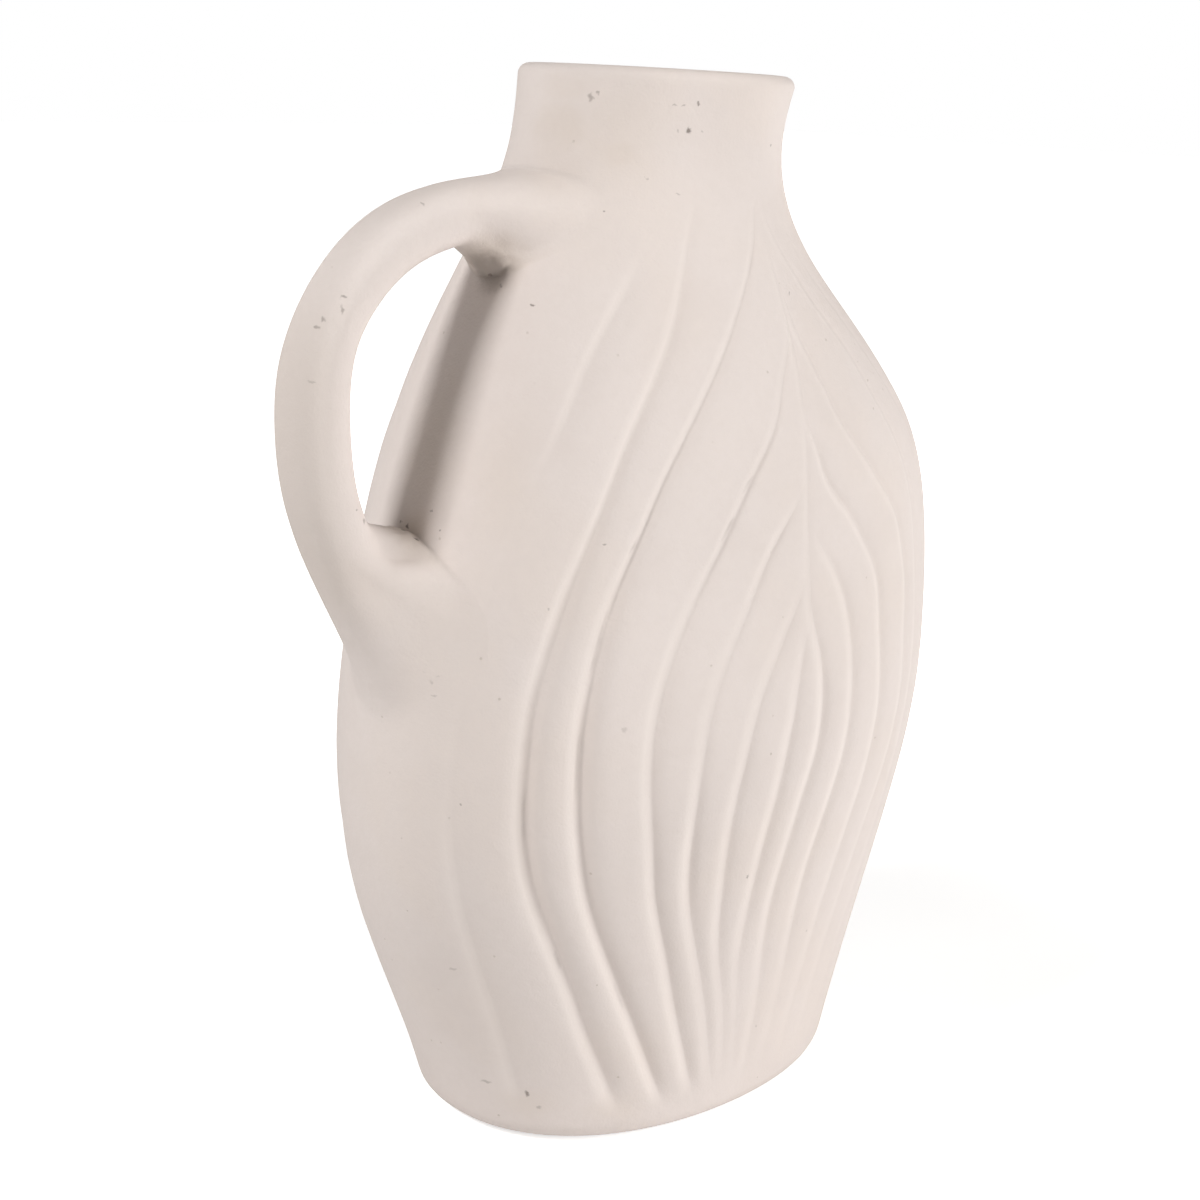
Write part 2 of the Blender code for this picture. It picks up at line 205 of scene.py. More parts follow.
# Leaf: creases carved along a midrib, the same on both broad faces
leaf = {
    # each has its path as (height in mm, share of the reach in %) and its depth as (height, mm), from
    # the handle's side to the other. Above its path a crease follows the midrib
    "creases": (
        (((0, -88), (60, -89), (106, -93), (155, -92), (190, -87.2), (201, -84.8), (215, -80.8), (231, -74),
          (249, -62), (262, -56), (300, -35)),
         ((22, 0.5), (70, 0.55), (95, 0.45), (112, 0.15), (196, 0.05), (210, 0.45), (240, 0.6), (254, 0))),
        (((0, -54), (23, -60.4), (36, -64.4), (52, -67.8), (69, -71.9), (84, -76), (98, -79.1),
          (114, -80.9), (138, -81), (153, -78.6), (175, -73.8), (191, -69.6), (205, -65.4), (220, -57.3),
          (234, -48.2), (249, -40.8), (262, -36), (300, -30)),
         ((18, 1.7), (62, 2.4), (95, 3.2), (130, 2.9), (154, 2.2), (164, 1.8), (176, 1.2), (204, 0.9),
          (240, 0.7), (258, 0.4), (266, 0))),
        (((0, -33), (13, -38.7), (32, -46.6), (50, -53), (66, -58.2), (84, -63.5), (108, -68.4),
          (134, -69.9), (152, -67.4), (167, -64), (182, -58.8), (197, -52.6), (212, -42.2), (226, -29),
          (241, -13.8), (254, -1), (266, 7)),
         ((14, 2.0), (60, 2.4), (92, 2.7), (128, 3.1), (145, 2.5), (160, 1.9), (190, 1.15), (226, 0.85),
          (250, 0.6), (262, 0.3), (268, 0))),
        (((0, -20), (24, -28.2), (40, -33.6), (58, -37.9), (82, -44.2), (95, -46.8), (113, -50.4),
          (125, -51.6), (140, -49.9), (151, -46.3), (166, -39), (181, -30), (196, -20), (210, -7.5),
          (218, -2.5), (225, 3), (232, 8.5), (240, 10.5)),
         ((14, 1.0), (60, 1.2), (92, 1.2), (128, 1.2), (150, 0.85), (205, 0.6), (228, 0.45), (240, 0))),
        (((0, -10), (27, -18.6), (39, -21.6), (56, -26.6), (80, -33.2), (96, -35.6), (111, -36.2),
          (124, -36), (139, -33), (149, -28.4), (164, -19.4), (179, -9.3), (186, -2.5), (192, 2.5)),
         ((13, 0.4), (45, 0.55), (70, 0.9), (92, 1.1), (110, 0.85), (128, 0.7), (180, 0.5), (192, 0))),
        (((0, -7), (44, -15.5), (57, -19), (77, -21.4), (92, -22.8), (109, -23), (125, -20.6), (137, -16.8),
          (147, -10.8), (154, -5.9), (162, -0.5), (168, 2.2)),
         ((13, 0.25), (48, 0.4), (70, 0.75), (92, 0.7), (128, 0.6), (155, 0.5), (168, 0))),
        (((0, -2), (23, -5), (41, -8.5), (58, -10.6), (75, -9.8), (90, -9.2), (106, -7.6), (120, -5.8),
          (134, -3.2), (145, -0.5), (152, 1.5), (158, 2.6)),
         ((13, 0.12), (50, 0.25), (75, 0.65), (92, 0.8), (128, 0.7), (146, 0.5), (158, 0))),
        (((0, 2), (35, 3), (52, 1.2), (70, 0), (92, 2), (106, 4.2), (118, 6.8), (132, 7.8), (144, 7),
          (153, 4.9), (160, 3.2)),
         ((14, 0.25), (45, 0.35), (72, 0.7), (92, 0.8), (130, 0.9), (150, 0.7), (165, 0.3), (210, 0.3),
          (232, 0.5), (246, 0.4), (256, 0))),
        (((0, 12), (49, 15), (79, 14.5), (100, 18), (115, 20.3), (130, 21), (141, 21), (150, 20.4),
          (158, 18.7), (168, 14), (175, 8.5), (181, 4)),
         ((16, 0.12), (40, 0.2), (68, 0.6), (100, 0.8), (140, 0.65), (165, 0.6), (180, 0))),
        (((0, 25), (70, 31), (100, 35), (126, 37.2), (147, 36.1), (164, 34.5), (174, 28.7), (183, 21.5),
          (193, 12.2), (201, 9.2), (209, 6.2), (214, 6)),
         ((18, 0.12), (45, 0.25), (80, 0.55), (120, 0.7), (190, 0.65), (205, 0.4), (214, 0))),
        (((0, 38), (70, 44), (100, 49), (125, 52.5), (143, 52), (160, 53), (169, 51.4), (179, 48),
          (189, 39.6), (199, 31.2), (208, 23.5), (216, 20), (226, 16), (236, 13), (244, 12.5)),
         ((20, 0.08), (50, 0.2), (90, 0.4), (120, 0.5), (170, 0.5), (200, 0.55), (230, 0.5), (244, 0))),
        (((0, 51), (60, 56), (120, 60), (163, 62), (183, 61), (199, 56.5), (214, 50), (228, 45),
          (238, 38), (248, 31), (257, 22), (266, 14)),
         ((22, 0.08), (60, 0.15), (120, 0.35), (190, 0.4), (240, 0.45), (258, 0.3), (270, 0))),
        (((0, 65), (60, 70), (120, 76), (160, 77), (190, 75), (215, 67), (240, 54), (262, 40),
          (300, 25)),
         ((26, 0.08), (60, 0.12), (120, 0.25), (200, 0.3), (240, 0.25), (266, 0))),
        (((0, 88), (60, 89), (106, 92), (155, 91), (200, 86), (230, 74), (262, 55), (300, 35)),
         ((30, 0.2), (120, 0.4), (200, 0.4), (236, 0.3), (256, 0))),
    ),
    "midrib": ((0, 2), (150, 3), (169, 3.3), (186, 3.2), (200, 4), (212, 5.6), (225, 8), (233, 9.8),
               (241, 11.2), (253, 12.5), (265, 12), (300, 10)),
    "middle": 7,  # the midrib's own crease, from which the others keep their distance
    "leastGap": 0.35,
    "creaseShare": 0.68,  # of the depth that the crease itself takes
    "leftWidth": 2.8,
    "rightWidth": 2.5,
    "widths": (2.2, 1.05, 1.05, 1, 0.95, 0.85, 0.8, 0.8, 0.8, 0.85, 0.9, 1, 1.1, 1.5),
    "leanMost": 1.5,  # up to this lean a crease is measured square to its path
    "fullDepth": 1.0,  # from this depth on a crease has its whole lobe, painted shade and painted highlight
    "lobeSlope": 0.15,  # of the rounded lobe between two creases, at its edges
    "lobeReach": 6.0,
    "ridge": (2.8, 1.5, 0.12),  # left of a crease: distance, half width and height of a raised ridge, which also carries a painted highlight
    "topNarrow": (138, 198, 0.45),  # the carving gets finer between these heights by this share
    # thin cracks along a crease: its number, from and to height
    "cracks": ((1, 60, 68), (1, 97, 119), (1, 165, 171), (2, 45, 56), (2, 110, 139), (2, 144, 166),
               (2, 178, 182), (3, 180, 187), (3, 192, 197)),
    "crackPlace": (0.9, 0.45),  # distance left of the crease, and half width
    "crackFade": (0.3, 1),
    "crackWobble": (5, 0.7),  # size of the gaps along a crack in mm, and how open it is on the whole
    "shadeWidths": (0.7, 4.5),  # how far the painted shade reaches left and right of a crease
    "footFade": (9, 23),
    "wobbleSize": 18,
    "wobbleShare": 0.22,
    "wobbleDepth": 0.14,
    "wobbleSeeds": (1, 31, 61),  # of the paths, the depths and the cracks
    # columns from one crease to the next, and from the outer creases to the narrow sides, as shares
    "steps": (0, 0.025, 0.055, 0.095, 0.15, 0.24, 0.37, 0.52, 0.66, 0.78, 0.86, 0.92, 0.965),
    "endSteps": (0, 0.1, 0.2, 0.3, 0.4, 0.5, 0.6, 0.7, 0.78, 0.85, 0.91, 0.95, 0.98),
}


def creaseShares(heights):
    # share of the reach of every crease at every height, in order, as rows x creases
    middle = leaf["middle"]
    midribAt = smoothCurve(*zip(*leaf["midrib"]))
    columns = []
    for i, (path, _) in enumerate(leaf["creases"]):
        places, shares = zip(*path)
        share = smoothCurve(places, shares)(np.clip(heights, 0, places[-1]))
        share += leaf["wobbleShare"] * wobble(heights, leaf["wobbleSize"], i + leaf["wobbleSeeds"][0])
        columns.append(np.where(heights > places[-1], midribAt(heights), share))
    shares = np.stack(columns, axis=-1)
    for i in range(middle - 1, -1, -1):
        shares[:, i] = np.minimum(shares[:, i], shares[:, i + 1] - leaf["leastGap"])
    for i in range(middle + 1, shares.shape[1]):
        shares[:, i] = np.maximum(shares[:, i], shares[:, i - 1] + leaf["leastGap"])
    return shares / 100


def creaseDepths(heights):
    # depth in mm of every crease at every height, as rows x creases
    footFade = smoothStep(heights, *leaf["footFade"])
    columns = []
    for i, (_, depths) in enumerate(leaf["creases"]):
        depth = np.interp(heights, *zip(*depths)) * footFade
        uneven = wobble(heights, 2 * leaf["wobbleSize"], i + leaf["wobbleSeeds"][1])
        columns.append(depth * (1 + leaf["wobbleDepth"] * uneven))
    return np.stack(columns, axis=-1)


def frontColumns(heights):
    # angle of every column of the front, with the angle of every crease, as rows x columns
    shares = creaseShares(heights)
    creaseAngles = angleOfShare(shares, np.repeat(heights[:, None], shares.shape[1], axis=1))
    steps, endSteps = np.array(leaf["steps"]), np.array(leaf["endSteps"])
    angles = [-pi + (creaseAngles[:, :1] + pi) * endSteps]
    for i in range(shares.shape[1] - 1):
        angles.append(creaseAngles[:, i : i + 1] * (1 - steps) + creaseAngles[:, i + 1 : i + 2] * steps)
    angles.append(creaseAngles[:, -1:] * np.concatenate([[1], endSteps[:0:-1], [0]]))
    return np.concatenate(angles, axis=1), creaseAngles


def lobes(angle, creaseAngles, bottoms, strength):
    # rounded lobes between the creases: mm under the crown of the lobe, for every column
    gaps = np.linalg.norm(np.diff(bottoms[..., :2], axis=1), axis=-1)
    wide = np.concatenate([gaps[:, :1], (gaps[:, 1:] + gaps[:, :-1]) / 2, gaps[:, -1:]], axis=1)
    edge = leaf["lobeSlope"] * strength * wide / 4
    under = np.zeros(angle.shape)
    for i in range(creaseAngles.shape[1] - 1):
        first, second = creaseAngles[:, i : i + 1], creaseAngles[:, i + 1 : i + 2]
        share = (angle - first) / (second - first)
        rise = np.where(share < 0.5, edge[:, i : i + 1], edge[:, i + 1 : i + 2]) * (2 * share - 1) ** 2
        under = np.where((share >= 0) & (share <= 1), rise, under)
    return under, edge


def crackOpening(heights, number):
    # how open the cracks along a crease are at every height, from 0 to 1
    opening = np.zeros(len(heights))
    for crease, low, high in leaf["cracks"]:
        if crease == number:
            away = abs(heights - (low + high) / 2) / ((high - low) / 2)
            opening = np.maximum(opening, 1 - smoothStep(away, *leaf["crackFade"]))
    size, share = leaf["crackWobble"]
    return opening * np.clip(share + wobble(heights, size, number + leaf["wobbleSeeds"][2]), 0, 1)


def carve(heights, angle, creaseAngles):
    # the skin before the cut, the cut in mm, the painted shade and painted highlight along the creases, and
    # how cracked the clay is there
    skin = bodyPlace(angle, np.repeat(heights[:, None], angle.shape[1], axis=1))
    bottoms = bodyPlace(creaseAngles, np.repeat(heights[:, None], creaseAngles.shape[1], axis=1))
    lean = np.clip(np.gradient(bottoms[..., 0], heights, axis=0), -leaf["leanMost"], leaf["leanMost"])
    depths = creaseDepths(heights)
    strength = np.clip(depths / leaf["fullDepth"], 0, 1)
    under, edge = lobes(angle, creaseAngles, bottoms, strength)
    cut, paintedShade, ridgeAndHighlight, crack = (np.zeros(angle.shape) for _ in range(4))
    narrowFrom, narrowTo, narrowShare = leaf["topNarrow"]
    fine = 1 - narrowShare * smoothStep(heights, narrowFrom, narrowTo)[:, None]
    leftShade, rightShade = leaf["shadeWidths"]
    ridgeAway, ridgeHalf, ridgeHeight = leaf["ridge"]
    crackAway, crackHalf = leaf["crackPlace"]
    last = creaseAngles.shape[1] - 1
    for i in range(last + 1):
        away = np.linalg.norm(skin[..., :2] - bottoms[:, i : i + 1, :2], axis=-1)
        away = away / np.sqrt(1 + lean[:, i : i + 1] ** 2)
        isRight = angle >= creaseAngles[:, i : i + 1]
        width = fine * leaf["widths"][i] * np.where(isRight, leaf["rightWidth"], leaf["leftWidth"])
        cut = np.maximum(cut, depths[:, i : i + 1] * leaf["creaseShare"] * np.exp(-((away / width) ** 2)))
        if i in (0, last):
            isOutside = angle < creaseAngles[:, :1] if i == 0 else angle > creaseAngles[:, last:]
            under = np.where(isOutside, edge[:, i : i + 1] * np.exp(-away / leaf["lobeReach"]), under)
        strong = strength[:, i : i + 1]
        # painted shade: a darker colour along each crease, reaching further to its right
        paintedShade = np.maximum(paintedShade, strong * np.exp(-away / np.where(isRight, rightShade, leftShade)))
        # painted highlight: a lighter colour on the ridge left of each crease; the same mask also raises
        # the ridge
        ridgeHighlight = np.exp(-(((away - ridgeAway * fine) / (ridgeHalf * fine)) ** 2))
        ridgeAndHighlight = np.maximum(ridgeAndHighlight, strong * np.where(isRight, 0, ridgeHighlight))
        cracked = np.exp(-(((away - crackAway) / crackHalf) ** 2))
        crack = np.maximum(crack, crackOpening(heights, i)[:, None] * np.where(isRight, 0, cracked))
    paints = {"creaseShade": paintedShade, "crestHighlight": ridgeAndHighlight, "crackLine": crack}
    return skin, cut + under - ridgeHeight * ridgeAndHighlight, paints


def allRound(front, back):
    # columns of the front, then the same columns round the back
    return np.concatenate([front, back[:, ::-1][:, 1:]], axis=1)


def carvedSkin(heights, inset):
    # the outer skin in mm, moved in by the inset and the cut, with its paints
    angle, creaseAngles = frontColumns(heights)
    skin, cut, paints = carve(heights, angle, creaseAngles)
    tall = np.repeat(heights[:, None], angle.shape[1], axis=1)
    step = 0.0005
    along = bodyPlace(angle + step, tall)[..., :2] - bodyPlace(angle - step, tall)[..., :2]
    outward = np.stack([along[..., 1], -along[..., 0]], axis=-1)
    outward /= np.maximum(np.linalg.norm(outward, axis=-1, keepdims=True), 1e-9)
    size, height, seed = body["lumps"]
    uneven = height * (lumps(skin, size, seed) - body["lumpSink"])
    size, height, seed = body["smallLumps"]
    uneven += height * lumps(skin, size, seed)
    uneven *= smoothStep(heights, *body["lumpsFrom"])[:, None]
    isFoot = (heights < body["footRound"])[:, None]
    sharper = body["footSharper"] * smoothStep(np.cos(angle), *body["sharperSide"]) * isFoot
    skin[..., :2] -= outward * (cut + inset[:, None] * (1 - sharper) - uneven)[..., None]
    return allRound(skin, skin * np.array([1, -1, 1])), {k: allRound(v, v) for k, v in paints.items()}


def shrunk(ring, share):
    return ring * np.array([share, share, 1])


def insideRings():
    # the inner wall from the lip down, the round corner and the floor, in mm
    bend = body["cornerRound"]
    heights = np.linspace(rimHeight - body["lipRound"], body["floor"] + bend, body["insideRows"])[1:]
    angle, _ = frontColumns(heights)
    inside = bodyPlace(angle, np.repeat(heights[:, None], angle.shape[1], axis=1), body["wall"])
    inside = allRound(inside, inside * np.array([1, -1, 1]))
    base = inside[-1:]
    length = np.linalg.norm(base[..., :2], axis=-1, keepdims=True)
    corner = []
    for turn in np.radians(body["cornerTurns"]):
        ring = base.copy()
        ring[..., :2] -= base[..., :2] / length * bend * (1 - cos(turn))
        ring[..., 2] = body["floor"] + bend * (1 - sin(turn))
        corner.append(ring)
    return [inside, *corner, *[shrunk(corner[-1], share) for share in body["floorRings"]]]


def buildBody():
    foot, lip, wall = body["footRound"], body["lipRound"], body["wall"]
    footTurns = np.radians(np.linspace(0, 90, body["footTurns"]))
    lipTurns = np.radians(np.linspace(0, 180, body["lipTurns"]))
    outerHeights = np.arange(foot + body["rowStep"], rimHeight - lip, body["rowStep"])
    heights = np.concatenate([
        foot * (1 - np.cos(footTurns)),
        outerHeights,
        rimHeight - lip + lip * np.sin(lipTurns),
    ])
    insets = np.concatenate([
        foot * (1 - np.sin(footTurns)),
        np.zeros(len(outerHeights)),
        wall / 2 - wall / 2 * np.cos(lipTurns),
    ])
    # rows of the lip share heights, so the carving is read at heights that always rise
    barelyRising = 0.01 * np.arange(len(lipTurns))
    rising = np.concatenate([heights[: -len(lipTurns)], rimHeight - lip + barelyRising])
    outer, paints = carvedSkin(rising, insets)
    outer[-len(lipTurns) :, :, 2] += (heights - rising)[-len(lipTurns) :, None]
    under = [shrunk(outer[:1], share) for share in body["soleRings"]]
    places = np.concatenate([*under, outer, *insideRings()], axis=0)
    backRight = np.clip(places[..., 1], 0, None) * smoothStep(places[..., 0], *body["liftAcross"])
    places[..., 2] += body["rimLift"] * backRight * smoothStep(places[..., 2], *body["liftUp"])
    before, after = len(under), places.shape[0] - len(under) - outer.shape[0]
    for label, values in paints.items():
        blank = np.zeros((1, values.shape[1]))
        paints[label] = np.concatenate([*[blank] * before, values, *[blank] * after], axis=0)
    return places, paints


vaseBody = wrapSheet("vaseBody", *buildBody())
print("body:", len(vaseBody.data.polygons), "faces")

# Handle: an oval strap, bent in the plane of the narrow sides, with its roots blended into the walls
handle = {
    # mm: x and z of the middle, the thickness in the bend's plane, the width, and the twist in degrees
    "line": ((-75, 261.2, 16.2, 18.6, 0), (-83, 259.1, 16.2, 18.2, 2), (-93.9, 254, 15.8, 18, 5),
             (-104.8, 244.3, 15.2, 17.8, 8), (-112.1, 232.8, 15, 17.9, 10), (-115.2, 222, 15.8, 18.6, 10),
             (-115.8, 211, 16.2, 19, 10), (-115, 200, 16.3, 19.2, 9), (-113, 190, 16.3, 19.4, 6),
             (-110.4, 182.5, 16.4, 19.8, 4)),
    "squareness": 2.6,
    "evenSection": (16.5, 19.4),  # thickness and width on which the columns are spread evenly
    "steps": 60,
    "around": 120,
    "slopeStep": 0.1,  # mm along the line on each side, over which its direction is read
    "rayFrom": -0.2,  # x in m from which the wall is looked for, well outside it
    # height of the root's middle, its reach towards the inside of the arch, away from it and to the
    # sides, how much narrower it is inside the arch, the sharpness of its outer tip, the run along the
    # wall (inside, sides, tip) and along the strap
    "upperRoot": {"height": 257, "inner": 13, "outer": 18.5, "side": 26, "pear": 0.45, "tip": 1.0,
                  "wallRun": (0.2, 0.5, 0.3), "strapRun": (0.35, 0.65, 0.5)},
    "lowerRoot": {"height": 163, "inner": 16, "outer": 46, "side": 30.5, "pear": 0.5, "tip": 1.3,
                  "wallRun": (0.25, 0.8, 0.36), "strapRun": (0.2, 1.0, 1.15)},
    # cosines of the angle round the strap between which one run or paint goes over into the next
    "innerSide": (0.45, 1),
    "tipSide": (0.4, 1),
    "slipSide": (0.1, 0.8),
    "shadeSide": (-0.35, 0.75),
    "rootSteps": 26,
    "evenRounds": 16,  # how often the root's edge is averaged with its neighbours
    "runOut": ((4.5, 0.28), (7.5, 3.0)),  # past the root's edge: mm along the wall, mm under it
    "blendHeight": (0.15, 2.2),  # mm off the wall between which its shading goes over into the strap's
    "shadeLow": (140, 175),  # heights between which the painted shade on the strap's outer face begins
    "shadeHigh": (222, 255),  # and ends
    # rows between which the rough slip begins, and ends at the upper and at the lower root
    "slipRows": ((2, 7), (14, 24), (12, 20)),
    "slipDepth": 0.55,
    "slipSize": 2.6,
    "slipSeeds": (5, 6),
}


def ovalPower(value):
    return np.sign(value) * np.abs(value) ** (2 / handle["squareness"])


def evenTurns(count):
    # turns that cut the strap's section into pieces of equal length, from the inside of the arch round
    fine = np.linspace(0, 2 * pi, 40 * count + 1)
    thickness, width = handle["evenSection"]
    x, y = thickness * ovalPower(np.cos(fine)), width * ovalPower(np.sin(fine))
    length = np.concatenate([[0], np.cumsum(np.hypot(np.diff(x), np.diff(y)))])
    return np.interp(np.linspace(0, length[-1], count + 1), length, fine)


def strapRing(middle, direction, turns):
    # positive cos is on the inside of the arch for a line that runs from the upper root down
    x, z, thickness, width, degrees = middle
    twist = radians(degrees)
    across = thickness / 2 * ovalPower(np.cos(turns))
    aside = width / 2 * ovalPower(np.sin(turns))
    across, aside = (across * cos(twist) - aside * sin(twist), across * sin(twist) + aside * cos(twist))
    return np.stack([x - direction[1] * across, aside, z + direction[0] * across], axis=-1)


def nearestOnWall(points, wallTree):
    found = [wallTree.find_nearest(Vector(p) * mm) for p in points]
    return np.array([f[0] for f in found]) / mm, np.array([f[1] for f in found])


def evened(values):
    # values round a closed ring, averaged with their neighbours; the last repeats the first
    loop = values[:-1]
    for _ in range(handle["evenRounds"]):
        loop = (np.roll(loop, 1, axis=0) + 2 * loop + np.roll(loop, -1, axis=0)) / 4
    return np.concatenate([loop, loop[:1]])


def rootRings(ring, outward, root, wallTree, innerUp):
    # skin between a strap ring and its oval footprint on the wall, from inside the wall outward
    turns = np.linspace(0, 2 * pi, handle["around"] + 1)
    feet, normals = [], []
    for turn in turns:
        reach = root["inner"] if cos(turn) > 0 else root["outer"]
        aside = root["side"] * sin(turn) * (1 - root["pear"] * cos(turn))
        aside *= abs(sin(turn)) ** (root["tip"] - 1) if cos(turn) < 0 else 1
        height = root["height"] + innerUp * reach * cos(turn)
        start = Vector((handle["rayFrom"], aside * mm, height * mm))
        hit, normal, _, _ = wallTree.ray_cast(start, Vector((1, 0, 0)))
        feet.append(np.array(hit) / mm)
        normals.append(np.array(normal))
    feet, normals = evened(np.array(feet)), evened(np.array(normals))
    normals /= np.linalg.norm(normals, axis=1, keepdims=True)
    gap = ring - feet
    rise = (gap * normals).sum(axis=1, keepdims=True)
    along = gap - normals * rise
    toInner = smoothStep(np.cos(turns), *handle["innerSide"])[:, None]
    toTip = smoothStep(-np.cos(turns), *handle["tipSide"])[:, None]

    def byDirection(values):
        inner, side, tip = values
        return side + (inner - side) * toInner + (tip - side) * toTip

    wallRun, strapRun = byDirection(root["wallRun"]), byDirection(root["strapRun"])
    fromFoot = feet + along * wallRun
    fromRing = ring + outward * rise * strapRun
    away = -along / np.linalg.norm(along, axis=1, keepdims=True)
    rings = []
    for reach, under in handle["runOut"][::-1]:
        onWall, wallNormal = nearestOnWall(feet + away * reach, wallTree)
        rings.append(onWall - wallNormal * under)
    for step in np.linspace(0, 1, handle["rootSteps"] + 1)[:-1]:
        rings.append(
            feet * (1 - step) ** 3
            + fromFoot * 3 * step * (1 - step) ** 2
            + fromRing * 3 * step**2 * (1 - step)
            + ring * step**3
        )
    return rings


def buildHandle(wallTree):
    line = np.array(handle["line"], float)
    knots = np.concatenate([[0], np.cumsum(np.linalg.norm(np.diff(line[:, :2], axis=0), axis=1))])
    curves = [smoothCurve(knots, line[:, i]) for i in range(line.shape[1])]
    walk = np.linspace(0, knots[-1], handle["steps"])
    middles = np.stack([curve(walk) for curve in curves], axis=-1)
    ahead, behind = walk + handle["slopeStep"], walk - handle["slopeStep"]
    direction = np.stack([curve(ahead) - curve(behind) for curve in curves[:2]], axis=-1)
    direction /= np.linalg.norm(direction, axis=1, keepdims=True)
    turns = np.linspace(0, 2 * pi, handle["around"] + 1)
    sectionTurns = evenTurns(handle["around"])
    rings = [strapRing(m, d, sectionTurns) for m, d in zip(middles, direction)]
    upperOut = np.array([-direction[0][0], 0, -direction[0][1]])
    lowerOut = np.array([direction[-1][0], 0, direction[-1][1]])
    upper = rootRings(rings[0], upperOut, handle["upperRoot"], wallTree, -1)
    lower = rootRings(rings[-1], lowerOut, handle["lowerRoot"], wallTree, 1)
    places = np.stack([*upper, *rings, *lower[::-1]])
    # the slip squeezed out at the roots was left rough on the inside of the arch
    begins, upperEnds, lowerEnds = handle["slipRows"]
    fromUpper = np.arange(len(places))
    fromLower = fromUpper[::-1]
    nearUpper = smoothStep(fromUpper, *begins) * (1 - smoothStep(fromUpper, *upperEnds))
    nearLower = smoothStep(fromLower, *begins) * (1 - smoothStep(fromLower, *lowerEnds))
    slip = (nearUpper + nearLower)[:, None] * smoothStep(np.cos(turns), *handle["slipSide"])[None, :]
    outward = places - places.mean(axis=1, keepdims=True)
    outward /= np.linalg.norm(outward, axis=-1, keepdims=True)
    seed, fineSeed = handle["slipSeeds"]
    rough = lumps(places, handle["slipSize"], seed) + lumps(places, handle["slipSize"] / 2, fineSeed) / 2
    places = places + outward * (slip * rough * handle["slipDepth"])[..., None]
    # painted shade: the outer face of the strap is coloured darker
    height = places[..., 2]
    stainAndShade = smoothStep(-np.cos(turns), *handle["shadeSide"])[None, :]
    stainAndShade = stainAndShade * smoothStep(height, *handle["shadeLow"]) * (1 - smoothStep(height, *handle["shadeHigh"]))
    return places, {"slipRough": slip, "gripStain": stainAndShade}


def blendShading(piece, wallTree):
    # near the wall the strap takes the wall's own shading, so that no edge shows round a root
    group = piece.vertex_groups.new(name="rootBlend")
    for vertex in piece.data.vertices:
        away = wallTree.find_nearest(vertex.co)[3] / mm
        weight = 1 - float(smoothStep(away, *handle["blendHeight"]))
        if weight > 0:
            group.add([vertex.index], weight, "REPLACE")
    deselectAll()
    bpy.context.view_layer.objects.active = piece
    piece.select_set(True)
    transfer = piece.modifiers.new("rootBlend", "DATA_TRANSFER")
    transfer.object = vaseBody
    transfer.use_loop_data = True
    transfer.data_types_loops = {"CUSTOM_NORMAL"}
    transfer.loop_mapping = "POLYINTERP_NEAREST"
    transfer.vertex_group = "rootBlend"
    bpy.ops.object.modifier_apply(modifier="rootBlend")


outerWall = BVHTree.FromObject(vaseBody, bpy.context.evaluated_depsgraph_get())
strapHandle = wrapSheet("strapHandle", *buildHandle(outerWall))
blendShading(strapHandle, outerWall)
print("handle:", len(strapHandle.data.polygons), "faces")
